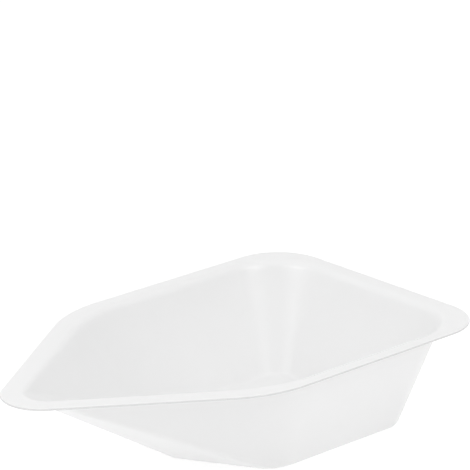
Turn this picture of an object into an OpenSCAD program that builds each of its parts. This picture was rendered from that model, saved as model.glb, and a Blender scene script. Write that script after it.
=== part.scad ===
// Pouring weighing boat: one thin polystyrene sheet, formed over a mould and
// trimmed. Seen from above it is a kite with a square back: a long pouring nose,
// two parallel sides and a straight back end. A flat flange runs round the mouth.
// Each wall is ruled from the bend under the flange down to a small flat floor
// whose nose is much blunter, so every nose wall folds softly along the line
// from the tip of the nose to the floor's shoulder.
// Along each nose side the bend opens out from its radius at the tip to the one
// it keeps round the rest of the mouth.
// The floor's underside lies on z = 0, the nose points to -X and the part is the
// same on both sides of the XZ plane. The origin is at the middle of its length.

/* [Overall] */
// Length from the tip of the nose to the back edge
boat_length = 85; // [80:0.5:100]
// Width over the two parallel sides
boat_width = 52.6; // [48:0.2:62]
// Height from the surface it rests on to the top of the flange
boat_depth = 19.5; // [15:0.5:26]
// Thickness of the sheet
sheet = 0.3; // [0.2:0.05:0.5]

/* [Rim outline] */
// Length of each parallel side, from the back edge to the shoulder
side_len = 51.2; // [42:0.2:56]
// Radius at the tip of the nose
rim_nose_r = 6.9; // [4:0.1:9]
// Radius at the shoulders, where the sides turn towards the nose
rim_shoulder_r = 22.8; // [8:0.2:30]
// Radius at the two back corners
rim_back_r = 9.4; // [5:0.2:14]

/* [Flange] */
// Flat width of the flange along the parallel sides
flange_side = 1.8; // [1.2:0.1:4]
// Flat width of the flange across the back end
flange_back = 2.1; // [1.2:0.1:4]
// Flat width of the flange along the two nose sides
flange_nose = 3; // [2:0.1:5]
// Radius of the mouth at the tip of the nose
mouth_nose_r = 4.8; // [4:0.2:6]
// Radius of the mouth at the shoulders
mouth_shoulder_r = 26.6; // [8:0.2:30]
// Radius of the mouth at the two back corners
mouth_back_r = 12; // [5:0.2:14]
// Radius of the bend from the flange into the walls, on the underside
bend_r = 1.5; // [0.4:0.1:2]
// Radius of the same bend round the tip of the nose, where a wide one would crease
bend_nose_r = 0.8; // [0.4:0.1:1]

/* [Floor] */
// Width of the flat floor
floor_width = 30.4; // [24:0.2:36]
// Length of the flat floor, from its nose to its back edge
floor_length = 38.2; // [35:0.2:42]
// Length of the floor's parallel sides
floor_side_len = 29.6; // [24:0.2:32]
// Distance from the boat's back edge in to the floor's back edge
floor_setback = 11.2; // [7:0.2:16]
// Radius of the floor outline at its nose
floor_nose_r = 0.8; // [0.4:0.1:4]
// Radius of the floor outline at its shoulders
floor_shoulder_r = 5.3; // [1:0.1:8]
// Radius of the floor outline at its two back corners
floor_back_r = 3.2; // [0.4:0.1:6]
// Radius of the fillet from the floor up into the walls, inside
floor_fillet = 1.2; // [1:0.1:4]

/* [Smoothness] */
// Degrees of turn from one station of the walls to the next
turn_step = 4; // [3:1:10]
// Steps in the curve of the bend and of the floor fillet
curve_steps = 6; // [3:1:8]

/* [Hidden] */

// Directions in plan, in degrees, in which a straight side can face.
ahead = 180;
sideways = 270;
back = 360;

// The floor fillet's two faces have one centre, and so have the bend's.
fillet_under = floor_fillet + sheet;
fillet_z = fillet_under;

function across(angle) = [cos(angle), sin(angle)];

// Where two straight lines cross, each given by the direction it faces and its
// distance from the origin.
function crossing(a, da, b, db) =
    [da * sin(b) - db * sin(a), db * cos(a) - da * cos(b)] / sin(b - a);

// A kite outline with a square back: the direction that its nose side faces,
// then how far the nose side, the parallel side and the back are from the
// origin, then the radii of its nose, shoulder and back corners.
function kite_from(facing, reach, half_w, back_x, radii) =
    [facing, [reach, half_w, back_x], radii];

// The same from the tip of the nose: the nose side is the line from the
// shoulder that touches the circle at the tip.
function kite(tip_x, shoulder_x, half_w, back_x, radii) =
    let (
        centre = [tip_x + radii[0], 0],
        away = [shoulder_x, half_w] - centre,
        slope = atan2(away.y, away.x) - asin(radii[0] / norm(away)),
        facing = sideways - slope
    )
    kite_from(facing, radii[0] + centre * across(facing), half_w, back_x, radii);

// Centre of one rounded corner: 0 is the nose, 1 the shoulder, 2 the back corner.
function corner_centre(k, outline) =
    let (facing = outline[0], far = outline[1], r = outline[2][k])
    k == 0 ? crossing(back - facing, far[0] - r, facing, far[0] - r)
    : k == 1 ? crossing(facing, far[0] - r, sideways, far[1] - r)
    : crossing(sideways, far[1] - r, back, far[2] - r);

// The point of a corner's arc that faces a direction.
function on_outline(outline, k, angle) =
    corner_centre(k, outline) + outline[2][k] * across(angle);

rim = kite(
    -boat_length / 2, boat_length / 2 - side_len, boat_width / 2, boat_length / 2,
    [rim_nose_r, rim_shoulder_r, rim_back_r]
);
mouth = kite_from(
    rim[0], rim[1][0] - flange_nose, rim[1][1] - flange_side, rim[1][2] - flange_back,
    [mouth_nose_r, mouth_shoulder_r, mouth_back_r]
);
floor_back_x = boat_length / 2 - floor_setback;
flat = kite(
    floor_back_x - floor_length, floor_back_x - floor_side_len, floor_width / 2, floor_back_x,
    [floor_nose_r, floor_shoulder_r, floor_back_r]
);

// Stations from the nose to the back: the direction faced, then the corner of
// the mouth and the corner of the floor that face it. Each side of an outline
// is the step between two stations that face the same way.
function turn(from, to, k_mouth, k_floor) =
    let (steps = max(1, ceil((to - from) / turn_step)))
    [for (i = [0:steps]) [from + (to - from) * i / steps, k_mouth, k_floor, -1]];

floor_first = flat[0] < mouth[0];
first_side = min(flat[0], mouth[0]);
second_side = max(flat[0], mouth[0]);
near_half = concat(
    turn(ahead, first_side, 0, 0),
    turn(first_side, second_side, floor_first ? 0 : 1, floor_first ? 1 : 0),
    turn(second_side, sideways, 1, 1),
    turn(sideways, back, 2, 2)
);
last = len(near_half) - 1;
stations = concat(
    near_half,
    [for (i = [last:-1:1]) [near_half[i][0], near_half[i][1], near_half[i][2], 1]]
);
count = len(stations);

// A point at a station: in plan off an outline by some distance, at a height.
// The stations are worked out on the -Y half, and the other half mirrors them.
function placed(outline, k, s, off, z) =
    let (p = on_outline(outline, k, s[0]) + off * across(s[0]))
    [p.x, -s[3] * p.y, z];

// The bend at a station: its radius on the underside, and its centre's height.
function bend_under(s) = s[1] == 0 ? bend_nose_r : bend_r;
function bend_z(s) = boat_depth - sheet - bend_under(s);

// Steepness of the wall at a station: the line that touches the fillet's
// circle from outside and the bend's circle from inside.
function wall_angle(s) =
    let (
        run = (on_outline(mouth, s[1], s[0]) - on_outline(flat, s[2], s[0])) * across(s[0]),
        rise = bend_z(s) - fillet_z
    )
    atan2(rise, run) + asin((fillet_under + bend_under(s)) / norm([run, rise]));

function fillet_arc(s, r, fractions) =
    let (tilt = wall_angle(s))
    [for (f = fractions) placed(flat, s[2], s, r * sin(tilt * f), fillet_z - r * cos(tilt * f))];

function bend_arc(s, r, fractions) =
    let (tilt = wall_angle(s), z = bend_z(s))
    [for (f = fractions) placed(mouth, s[1], s, -r * sin(tilt * f), z + r * cos(tilt * f))];

up = [for (i = [0:curve_steps]) i / curve_steps];
down = [for (i = [curve_steps:-1:0]) i / curve_steps];

// Section of the sheet at a station: out along the underside to the cut edge
// of the flange, then back along the inside to the floor.
function section(s) = concat(
    fillet_arc(s, fillet_under, up),
    bend_arc(s, bend_under(s), down),
    [placed(rim, s[1], s, 0, boat_depth - sheet), placed(rim, s[1], s, 0, boat_depth)],
    bend_arc(s, bend_under(s) + sheet, up),
    fillet_arc(s, floor_fillet, down)
);

curve = curve_steps + 1;
section_size = 4 * curve + 2;
function of_floor(j) = j < curve || j >= section_size - curve;

// Two stations that face the same way, on the same half, share the points of
// an outline that has one corner at both: only the other outline has a side there.
function shares(i, j) =
    let (k = of_floor(j) ? 2 : 1)
    i > 0 && [for (n = [0, k, 3]) if (stations[i][n] != stations[i - 1][n]) n] == [];

function corner_at(i, j) =
    let (m = i % count)
    (shares(m, j) ? m - 1 : m) * section_size + j;

// The strip of the sheet between two stations, in triangles with three
// different corners.
function strip(i, j) =
    let (
        a = corner_at(i, j),
        b = corner_at(i, j + 1),
        c = corner_at(i + 1, j + 1),
        d = corner_at(i + 1, j)
    )
    [for (t = [[a, b, c], [a, c, d]]) if (t[0] != t[1] && t[1] != t[2] && t[2] != t[0]) t];

function floor_face(j) = [for (i = [0:count - 1]) if (!shares(i, j)) corner_at(i, j)];
function turned(list) = [for (i = [len(list) - 1:-1:0]) list[i]];

module boat() {
    points = [for (s = stations) each section(s)];
    skin = [for (i = [0:count - 1]) for (j = [0:section_size - 2]) each strip(i, j)];
    color([0.95, 0.95, 0.94])
        polyhedron(
            points,
            concat(skin, [floor_face(0), turned(floor_face(section_size - 1))]),
            convexity = 6
        );
}

boat();
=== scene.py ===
import math

import bmesh
import bpy
import numpy as np
from mathutils import Matrix, Vector


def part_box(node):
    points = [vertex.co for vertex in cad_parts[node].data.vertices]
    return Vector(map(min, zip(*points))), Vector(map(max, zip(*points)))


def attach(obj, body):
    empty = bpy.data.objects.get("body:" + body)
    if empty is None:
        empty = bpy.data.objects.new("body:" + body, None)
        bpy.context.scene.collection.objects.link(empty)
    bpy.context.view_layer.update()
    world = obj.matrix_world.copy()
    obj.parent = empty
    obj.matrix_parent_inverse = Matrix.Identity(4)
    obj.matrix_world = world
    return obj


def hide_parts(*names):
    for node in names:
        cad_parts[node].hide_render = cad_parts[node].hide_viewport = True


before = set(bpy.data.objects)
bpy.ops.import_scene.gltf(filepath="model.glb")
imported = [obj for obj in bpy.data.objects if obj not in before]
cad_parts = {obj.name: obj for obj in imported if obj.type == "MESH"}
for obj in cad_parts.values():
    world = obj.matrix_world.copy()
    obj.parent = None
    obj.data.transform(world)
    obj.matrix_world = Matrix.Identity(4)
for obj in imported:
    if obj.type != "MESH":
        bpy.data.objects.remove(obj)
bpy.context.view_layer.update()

LOW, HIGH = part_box("boat")

MM = 0.001

# Sizes of the boat in millimetres, the same as in the part's source. The overall
# length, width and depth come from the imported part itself.
LENGTH = (HIGH.x - LOW.x) / MM
WIDTH = (HIGH.y - LOW.y) / MM
DEPTH = (HIGH.z - LOW.z) / MM
SHEET = 0.3
SIDE_LEN = 51.2
RIM_RADII = (6.9, 22.8, 9.4)
FLANGE_SIDE, FLANGE_BACK, FLANGE_NOSE = 1.8, 2.1, 3.0
MOUTH_RADII = (4.8, 26.6, 12.0)
BEND_R = 1.5
BEND_NOSE_R = 0.8     # the same bend round the tip of the nose
FLOOR_WIDTH, FLOOR_LENGTH, FLOOR_SIDE_LEN, FLOOR_SETBACK = 30.4, 38.2, 29.6, 11.2
FLOOR_RADII = (0.8, 5.3, 3.2)
FLOOR_FILLET = 1.2

# How finely the sheet is drawn here.
TURN_STEP = 1.5      # degrees from one station of the walls to the next
ARC_STEPS = 10       # steps in the bend and in the floor fillet
WALL_ROWS = 18       # rows of faces down a wall
FLANGE_ROWS = 4      # rows across the flange
SIDE_STEPS = 24      # steps along each straight side
FLOOR_RINGS = 12     # rings from the edge of the floor to its middle
CUT_R = 0.07         # rounding of the two corners of the trimmed edge
CUT_STEPS = 3        # steps in each of those roundings
SPINE_FROM_NOSE = 12.0   # the floor's middle line stops this far from its nose
SPINE_FROM_BACK = 10.0   # and this far from its back

# How the sheet thins as it is formed: on a plain wall, as a share of what it does
# at a corner of the floor, and how far round such a corner that reaches, in mm.
THIN_PLAIN, THIN_REACH = 0.55, 7.0

AHEAD, SIDEWAYS, BACK = 180.0, 270.0, 360.0


# ---------------------------------------------------------------- outlines

def across(angle):
    """The direction in plan that an outline faces at an angle in degrees."""
    return np.array([math.cos(math.radians(angle)), math.sin(math.radians(angle))])


def crossing(a, da, b, db):
    """Where two straight lines cross, each by what it faces and its distance."""
    a, b = math.radians(a), math.radians(b)
    return np.array([
        da * math.sin(b) - db * math.sin(a),
        db * math.cos(a) - da * math.cos(b),
    ]) / math.sin(b - a)


class Kite:
    """A kite outline with a square back and rounded corners."""

    def __init__(self, facing, far, radii):
        self.facing, self.far, self.radii = facing, far, radii

    @classmethod
    def from_tip(cls, tip_x, shoulder_x, half_w, back_x, radii):
        centre = np.array([tip_x + radii[0], 0.0])
        away = np.array([shoulder_x, half_w]) - centre
        slope = math.atan2(away[1], away[0]) - math.asin(radii[0] / math.hypot(*away))
        facing = SIDEWAYS - math.degrees(slope)
        return cls(facing, (radii[0] + centre @ across(facing), half_w, back_x), radii)

    def centre(self, k):
        """Centre of one corner's arc: 0 nose, 1 shoulder, 2 back corner."""
        r = self.radii[k]
        near = [d - r for d in self.far]
        if k == 0:
            return crossing(BACK - self.facing, near[0], self.facing, near[0])
        if k == 1:
            return crossing(self.facing, near[0], SIDEWAYS, near[1])
        return crossing(SIDEWAYS, near[1], BACK, near[2])

    def at(self, k, angle):
        return self.centre(k) + self.radii[k] * across(angle)


rim = Kite.from_tip(-LENGTH / 2, LENGTH / 2 - SIDE_LEN, WIDTH / 2, LENGTH / 2, RIM_RADII)
mouth = Kite(
    rim.facing,
    (rim.far[0] - FLANGE_NOSE, rim.far[1] - FLANGE_SIDE, rim.far[2] - FLANGE_BACK),
    MOUTH_RADII,
)
floor_back = LENGTH / 2 - FLOOR_SETBACK
flat = Kite.from_tip(
    floor_back - FLOOR_LENGTH, floor_back - FLOOR_SIDE_LEN, FLOOR_WIDTH / 2, floor_back,
    FLOOR_RADII,
)


# ---------------------------------------------------------------- the sheet

def half_stations():
    """Stations on one half, nose to back: (angle, mouth corner, floor corner)."""
    spans = [
        (AHEAD, flat.facing, 0, 0),
        (flat.facing, mouth.facing, 0, 1),
        (mouth.facing, SIDEWAYS, 1, 1),
        (SIDEWAYS, BACK, 2, 2),
    ]
    out = []
    for start, end, k_mouth, k_floor in spans:
        n = max(1, math.ceil((end - start) / TURN_STEP))
        out += [(start + (end - start) * i / n, k_mouth, k_floor) for i in range(n + 1)]
    return out


def section(station):
    """The sheet's outline at a station: points of the underside from the floor
    out, of the trimmed edge, and of the inside from the rim back in."""
    angle, k_mouth, k_floor = station
    facing = across(angle)
    on_mouth, on_flat = mouth.at(k_mouth, angle), flat.at(k_floor, angle)
    on_rim = rim.at(k_mouth, angle)
    fillet_out = fillet_z = FLOOR_FILLET + SHEET
    bend_out = BEND_R if k_mouth else BEND_NOSE_R
    bend_in, bend_z = bend_out + SHEET, DEPTH - SHEET - bend_out

    def steepness(bend_r):
        run, rise = (on_mouth - on_flat) @ facing, DEPTH - SHEET - bend_r - fillet_z
        return math.atan2(rise, run) + math.asin((fillet_out + bend_r) / math.hypot(run, rise))

    # Both ends of a nose side stand on one point of the floor's edge.
    tilt = steepness(bend_out)
    foot = steepness(BEND_NOSE_R) if angle <= mouth.facing else tilt

    def fillet(r, f):
        p = on_flat + r * math.sin(foot * f) * facing
        return [*p, fillet_z - r * math.cos(foot * f)]

    def bend(r, f):
        p = on_mouth - r * math.sin(tilt * f) * facing
        return [*p, bend_z + r * math.cos(tilt * f)]

    def rows(a, b, n):
        a, b = np.array(a), np.array(b)
        return [list(a + (b - a) * i / n) for i in range(1, n)]

    arc = [i / ARC_STEPS for i in range(ARC_STEPS + 1)]
    under = [fillet(fillet_out, f) for f in arc]
    under += rows(under[-1], bend(bend_out, 1), WALL_ROWS)
    under += [bend(bend_out, f) for f in arc[::-1]]
    # The trimmed edge: square to the flange, with its two corners just broken.
    quarter = [math.pi / 2 * i / CUT_STEPS for i in range(CUT_STEPS + 1)]
    back_in = on_rim - CUT_R * facing
    low = [[*(back_in + CUT_R * math.sin(q) * facing),
            DEPTH - SHEET + CUT_R * (1 - math.cos(q))] for q in quarter]
    high = [[*(back_in + CUT_R * math.cos(q) * facing),
             DEPTH - CUT_R * (1 - math.sin(q))] for q in quarter]
    under += rows(under[-1], low[0], FLANGE_ROWS)
    inside = rows(high[-1], bend(bend_in, 0), FLANGE_ROWS)
    inside += [bend(bend_in, f) for f in arc]
    inside += rows(inside[-1], fillet(FLOOR_FILLET, 1), WALL_ROWS)
    inside += [fillet(FLOOR_FILLET, f) for f in arc[::-1]]
    return under, low + high, inside


def lofted():
    """Every ring of the sheet round the boat, as an array (station, point, 3),
    with the numbers of points on the underside and on the trimmed edge."""
    near = half_stations()
    columns = []
    for n, station in enumerate(near):
        under, cut, inside = section(station)
        column = np.array(under + cut + inside)
        if n and near[n - 1][0] == station[0]:
            before = columns[-1]
            for i in range(1, SIDE_STEPS):
                columns.append(before + (column - before) * i / SIDE_STEPS)
        columns.append(column)
    sizes = len(under), len(cut), len(inside)
    half = np.array(columns)
    # The nose has one station on the centre line, and the back end has a side
    # there, which is divided as the other straight sides are.
    last = half[-1]
    far_last = last * (1, -1, 1)
    back_side = [last + (far_last - last) * i / SIDE_STEPS for i in range(1, SIDE_STEPS)]
    other = half[:0:-1] * (1, -1, 1)
    return np.concatenate([half, np.array(back_side), other]), sizes


def floor_rings(edge, z):
    """Points from the floor's edge in to its middle line, ring by ring."""
    spine_lo = edge[:, 0].min() + SPINE_FROM_NOSE
    spine_hi = edge[:, 0].max() - SPINE_FROM_BACK
    spine = np.stack([
        np.clip(edge[:, 0], spine_lo, spine_hi), np.zeros(len(edge)), np.full(len(edge), z)
    ], 1)
    return [edge + (spine - edge) * (i / FLOOR_RINGS) for i in range(1, FLOOR_RINGS + 1)]


def boat_mesh():
    """The whole sheet as one closed mesh in metres, with what its finish reads:
    "drawn", how far forming has thinned the sheet, "cut", the trimmed edge, and
    "round", how far round the boat a point lies."""
    grid, (n_under, n_cut, _) = lofted()
    count, size = grid.shape[:2]
    points = [grid.reshape(-1, 3)]
    faces = []
    for i in range(count):
        a, b = i * size, (i + 1) % count * size
        for j in range(size - 1):
            faces.append((a + j, a + j + 1, b + j + 1, b + j))
    total = count * size
    for column, z, flip in ((0, 0.0, False), (size - 1, SHEET, True)):
        ring = [i * size + column for i in range(count)]
        for inner in floor_rings(grid[:, column], z):
            ids = list(range(total, total + count))
            points.append(inner)
            total += count
            for i in range(count):
                j = (i + 1) % count
                quad = (ring[i], ring[j], ids[j], ids[i])
                faces.append(quad[::-1] if flip else quad)
            ring = ids
    points = np.concatenate(points)

    mesh = bpy.data.meshes.new("boat_sheet")
    mesh.from_pydata((points * MM).tolist(), [], faces)
    mesh.validate()

    depth = 1 - points[:, 2] / DEPTH
    # Corners of the floor are drawn the furthest from the clamped rim.
    corners = [flat.centre(1), flat.centre(2)]
    corners += [c * (1, -1) for c in corners]
    from_corner = np.min([np.hypot(*(points[:, :2] - c).T) for c in corners], 0)
    near_corner = np.exp(-(from_corner / THIN_REACH) ** 2)
    drawn = np.clip(depth, 0, 1) * (THIN_PLAIN + (1 - THIN_PLAIN) * near_corner)
    cut = np.zeros(len(points))
    grid_cut = np.zeros((count, size))
    grid_cut[:, n_under + 1:n_under + n_cut - 1] = 1
    cut[:count * size] = grid_cut.ravel()
    round_boat = np.zeros(len(points))
    middle = grid[:, n_under + n_cut]
    steps = np.hypot(*(np.diff(middle[:, :2], axis=0, append=middle[:1, :2]).T))
    along = np.concatenate([[0], np.cumsum(steps)[:-1]])
    round_boat[:count * size] = np.repeat(along, size)
    for name, values in (("drawn", drawn), ("cut", cut), ("round", round_boat)):
        layer = mesh.attributes.new(name, "FLOAT", "POINT")
        layer.data.foreach_set("value", values.astype(np.float32))
    mesh.polygons.foreach_set("use_smooth", [True] * len(mesh.polygons))

    bm = bmesh.new()
    bm.from_mesh(mesh)
    bmesh.ops.remove_doubles(bm, verts=bm.verts, dist=2e-7)
    bmesh.ops.dissolve_degenerate(bm, edges=bm.edges, dist=1e-7)
    bmesh.ops.recalc_face_normals(bm, faces=bm.faces)
    bm.to_mesh(mesh)
    bm.free()
    return mesh


# ---------------------------------------------------------------- materials

class Nodes:
    """A short way to write a material's node tree."""

    def __init__(self, tree):
        self.tree = tree
        tree.nodes.clear()

    def new(self, kind, inputs=None, **settings):
        node = self.tree.nodes.new(kind)
        for name, value in settings.items():
            setattr(node, name, value)
        for key, value in (inputs or {}).items():
            if isinstance(value, bpy.types.NodeSocket):
                self.tree.links.new(value, node.inputs[key])
            else:
                node.inputs[key].default_value = value
        return node

    def math(self, operation, *values, clamp=False):
        node = self.new("ShaderNodeMath", dict(enumerate(values)), operation=operation)
        node.use_clamp = clamp
        return node.outputs[0]

    def noise(self, where, scale, detail=2.0, roughness=0.5):
        return self.new("ShaderNodeTexNoise", {
            "Vector": where, "Scale": scale, "Detail": detail, "Roughness": roughness,
        }).outputs["Fac"]

    def attribute(self, name):
        return self.new("ShaderNodeAttribute", attribute_name=name).outputs["Fac"]


MILKY = (0.885, 0.885, 0.885)
THIN = (0.845, 0.845, 0.845)
# Grey of the trimmed edge: partly the denser sheared sheet, partly painted shade for the little
# light that reaches the edge end-on.
EDGE_TONE_AND_SHADE = (0.62, 0.62, 0.62)
ROUGH_LOW, ROUGH_SPAN, ROUGH_CUT = 0.285, 0.10, 0.3

# Patterns in the finish, by how many there are to the metre. The draw lines are
# counted to the millimetre round the boat.
CLOUDS, PATCHES, PEEL, RIPPLES, DRAW_LINES = 110, 420, 1500, 160, 1.1
PEEL_HIGH, RIPPLES_HIGH, DRAW_LINES_HIGH = 0.0000018, 0.000010, 0.000006   # metres


def sheet_material():
    material = bpy.data.materials.new("milky_polystyrene")
    material.use_nodes = True
    n = Nodes(material.node_tree)
    where = n.new("ShaderNodeTexCoord").outputs["Object"]
    drawn, cut, around = n.attribute("drawn"), n.attribute("cut"), n.attribute("round")

    # Colour: milky white, greyer where the sheet is drawn thin, faintly clouded, and darker on
    # the trimmed edge, partly with painted shade.
    cloud = n.noise(where, CLOUDS, 3.0, 0.55)
    cloud = n.math("MULTIPLY", n.math("SUBTRACT", cloud, 0.5), 0.5)
    thin = n.math("ADD", drawn, cloud, clamp=True)
    body = n.new("ShaderNodeMix", {"Factor": thin}, data_type="RGBA")
    body.inputs[6].default_value = (*MILKY, 1)
    body.inputs[7].default_value = (*THIN, 1)
    # Painted shade on the trimmed edge, laid over the sheet's own colour there.
    trimmed = n.new("ShaderNodeMix", {"Factor": cut, 6: body.outputs[2]}, data_type="RGBA")
    trimmed.inputs[7].default_value = (*EDGE_TONE_AND_SHADE, 1)

    # Roughness: a soft gloss, a little duller in patches and on the cut edge.
    patch = n.noise(where, PATCHES, 3.0, 0.6)
    rough = n.math("MULTIPLY_ADD", patch, ROUGH_SPAN, ROUGH_LOW)
    rough = n.math("MULTIPLY_ADD", cut, ROUGH_CUT, rough)

    # Relief: orange peel, slow ripples of forming, and draw lines down the walls.
    peel = n.noise(where, PEEL, 2.0, 0.5)
    ripple = n.noise(where, RIPPLES, 1.0, 0.4)
    lines_at = n.new("ShaderNodeCombineXYZ", {"X": around, "Y": drawn}).outputs[0]
    lines = n.noise(lines_at, DRAW_LINES, 2.0, 0.5)
    lines = n.math("MULTIPLY", lines, drawn)
    height = n.math("MULTIPLY", peel, PEEL_HIGH)
    height = n.math("MULTIPLY_ADD", ripple, RIPPLES_HIGH, height)
    height = n.math("MULTIPLY_ADD", lines, DRAW_LINES_HIGH, height)
    bump = n.new("ShaderNodeBump", {"Height": height, "Strength": 1.0, "Distance": 1.0})

    shader = n.new("ShaderNodeBsdfPrincipled", {
        "Base Color": trimmed.outputs[2], "Roughness": rough,
        "Normal": bump.outputs["Normal"], "IOR": 1.55,
        "Subsurface Weight": 0.7, "Subsurface Scale": 0.0012,
        "Subsurface Radius": (1.0, 1.0, 1.0),
    })
    out = n.new("ShaderNodeOutputMaterial", {"Surface": shader.outputs[0]})
    out.is_active_output = True
    return material


def seen_ray(n):
    """1 for the rays that show a background: camera, glossy and transmission."""
    path = n.new("ShaderNodeLightPath")
    seen = n.math("ADD", path.outputs["Is Camera Ray"], path.outputs["Is Glossy Ray"])
    return n.math("ADD", seen, path.outputs["Is Transmission Ray"], clamp=True)


# The table: how much light it returns, and how much comes up through it.
TABLE_TONE, TABLE_GLOW, TABLE_SEEN = 0.44, 0.555, 0.14


def floor_material():
    """A pale matt table, softly lit from below, that keeps the boat's shadow."""
    material = bpy.data.materials.new("pale_floor")
    material.use_nodes = True
    n = Nodes(material.node_tree)
    where = n.new("ShaderNodeTexCoord").outputs["Object"]
    grain = n.noise(where, 900, 2.0, 0.5)
    tone = n.math("MULTIPLY_ADD", grain, 0.01, TABLE_TONE)
    shade = n.new("ShaderNodeCombineColor", {0: tone, 1: tone, 2: tone}).outputs[0]
    matt = n.new("ShaderNodeBsdfDiffuse", {"Color": shade})
    glow = n.math("MULTIPLY_ADD", seen_ray(n), TABLE_SEEN, TABLE_GLOW)
    glow = n.new("ShaderNodeEmission", {"Strength": glow})
    both = n.new("ShaderNodeAddShader", {0: matt.outputs[0], 1: glow.outputs[0]})
    n.new("ShaderNodeOutputMaterial", {"Surface": both.outputs[0]})
    return material


# ---------------------------------------------------------------- the boat

boat = bpy.data.objects.new("boat_sheet", boat_mesh())
bpy.context.scene.collection.objects.link(boat)
boat.data.materials.append(sheet_material())
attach(boat, "root")
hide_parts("boat")


# ---------------------------------------------------------------- the stage

FLOOR_HALF = 3.0       # half the side of the table, metres
FLOOR_DROP = 0.00002   # how far it lies under the boat, metres
floor_mesh = bpy.data.meshes.new("floor")
floor_mesh.from_pydata(
    [(x * FLOOR_HALF, y * FLOOR_HALF, 0) for x, y in ((-1, -1), (1, -1), (1, 1), (-1, 1))],
    [], [(0, 1, 2, 3)],
)
floor = bpy.data.objects.new("floor", floor_mesh)
bpy.context.scene.collection.objects.link(floor)
floor_mesh.materials.append(floor_material())
floor.location.z = -FLOOR_DROP

# The light tent: its brightness low down and half-way up, on the side behind the
# boat and on the camera's side, and overhead.
TENT_FAR, TENT_NEAR, TENT_TOP = (0.93, 0.74), (0.36, 1.10), 0.73
BEHIND = (0.68, 0.733, 0.0)
# Two patches of the tent are dimmed, one above the camera and a broader one low
# on the right: the way to each, by how much, and how closely it keeps to that way.
# Both were chosen by trial.
DIMMED = (
    ((-0.536, -0.578, 0.616), 0.8, 8.0),
    ((0.78, -0.62, 0.08), 0.30, 2.0),
)


def tent():
    world = bpy.data.worlds.new("light_tent")
    world.use_nodes = True
    n = Nodes(world.node_tree)
    toward = n.new("ShaderNodeTexCoord").outputs["Generated"]
    height = n.new("ShaderNodeSeparateXYZ", {0: toward}).outputs["Z"]
    height = n.math("ADD", height, 0.0, clamp=True)
    rest = n.math("SUBTRACT", 1.0, height)
    far = n.new("ShaderNodeVectorMath", {0: toward, 1: BEHIND}, operation="DOT_PRODUCT")
    far = n.math("MULTIPLY_ADD", far.outputs["Value"], 0.5, 0.5)
    low = n.math("MULTIPLY_ADD", far, TENT_FAR[0] - TENT_NEAR[0], TENT_NEAR[0])
    middle = n.math("MULTIPLY_ADD", far, TENT_FAR[1] - TENT_NEAR[1], TENT_NEAR[1])
    low = n.math("MULTIPLY", n.math("MULTIPLY", rest, rest), low)
    middle = n.math("MULTIPLY", n.math("MULTIPLY", height, rest), n.math("ADD", middle, middle))
    high = n.math("MULTIPLY", n.math("MULTIPLY", height, height), TENT_TOP)
    strength = n.math("ADD", n.math("ADD", low, middle), high)
    for way, dims, close in DIMMED:
        dimmed = n.new("ShaderNodeVectorMath", {0: toward, 1: way}, operation="DOT_PRODUCT")
        dimmed = n.math("POWER", n.math("MAXIMUM", dimmed.outputs["Value"], 0.0), close)
        strength = n.math("MULTIPLY", strength, n.math("MULTIPLY_ADD", dimmed, -dims, 1.0))
    sky = n.new("ShaderNodeBackground", {"Color": (1, 1, 1, 1), "Strength": strength})
    n.new("ShaderNodeOutputWorld", {"Surface": sky.outputs[0]})
    return world


bpy.context.scene.world = tent()

# ---------------------------------------------------------------- camera

AZIMUTH, ELEVATION = math.radians(-42.8300), math.radians(19.1834)
TARGET = np.array([11.6099, 5.2199, 34.0735])   # what the middle of the picture looks at, mm
DISTANCE = 554.27                       # from the camera to the target, mm
SENSOR, LENS = 36.0, 249.0855             # mm

back = np.array([
    math.sin(AZIMUTH) * math.cos(ELEVATION),
    -math.cos(AZIMUTH) * math.cos(ELEVATION),
    math.sin(ELEVATION),
])
right = np.array([math.cos(AZIMUTH), math.sin(AZIMUTH), 0.0])
up = np.cross(back, right)
spot = TARGET + DISTANCE * back

camera_data = bpy.data.cameras.new("camera")
camera = bpy.data.objects.new("camera", camera_data)
bpy.context.scene.collection.objects.link(camera)
camera_data.sensor_width, camera_data.lens = SENSOR, LENS
camera_data.clip_end = 20.0
camera.matrix_world = Matrix.Translation(Vector(spot * MM)) @ Matrix(
    np.stack([right, up, back], 1).tolist()
).to_4x4()
bpy.context.scene.camera = camera


# ---------------------------------------------------------------- lamps

LAMP_AWAY, LAMP_SIZE = 1.2, 0.3   # metres


def softbox(name, azimuth, elevation, radiance):
    """A square area lamp aimed at the boat. radiance 1 is as bright as white."""
    a, e = math.radians(azimuth), math.radians(elevation)
    towards = Vector((math.sin(a) * math.cos(e), -math.cos(a) * math.cos(e), math.sin(e)))
    data = bpy.data.lights.new(name, "AREA")
    data.shape, data.size = "SQUARE", LAMP_SIZE
    data.energy = radiance * math.pi * LAMP_SIZE ** 2
    lamp = bpy.data.objects.new(name, data)
    bpy.context.scene.collection.objects.link(lamp)
    lamp.location = Vector((0, 0, 0.01)) + towards * LAMP_AWAY
    lamp.rotation_euler = towards.to_track_quat("Z", "Y").to_euler()


# Two softboxes a side: the high ones glint on the bend over the far back corner,
# and the low ones each run a soft band down that corner.
softbox("left_high", -88, 46, 5.6)
softbox("left_low", -88, 32, 6.0)
softbox("right_high", 13, 46, 5.6)
softbox("right_low", 5, 32, 5.2)

bpy.context.scene.view_settings.view_transform = "Standard"
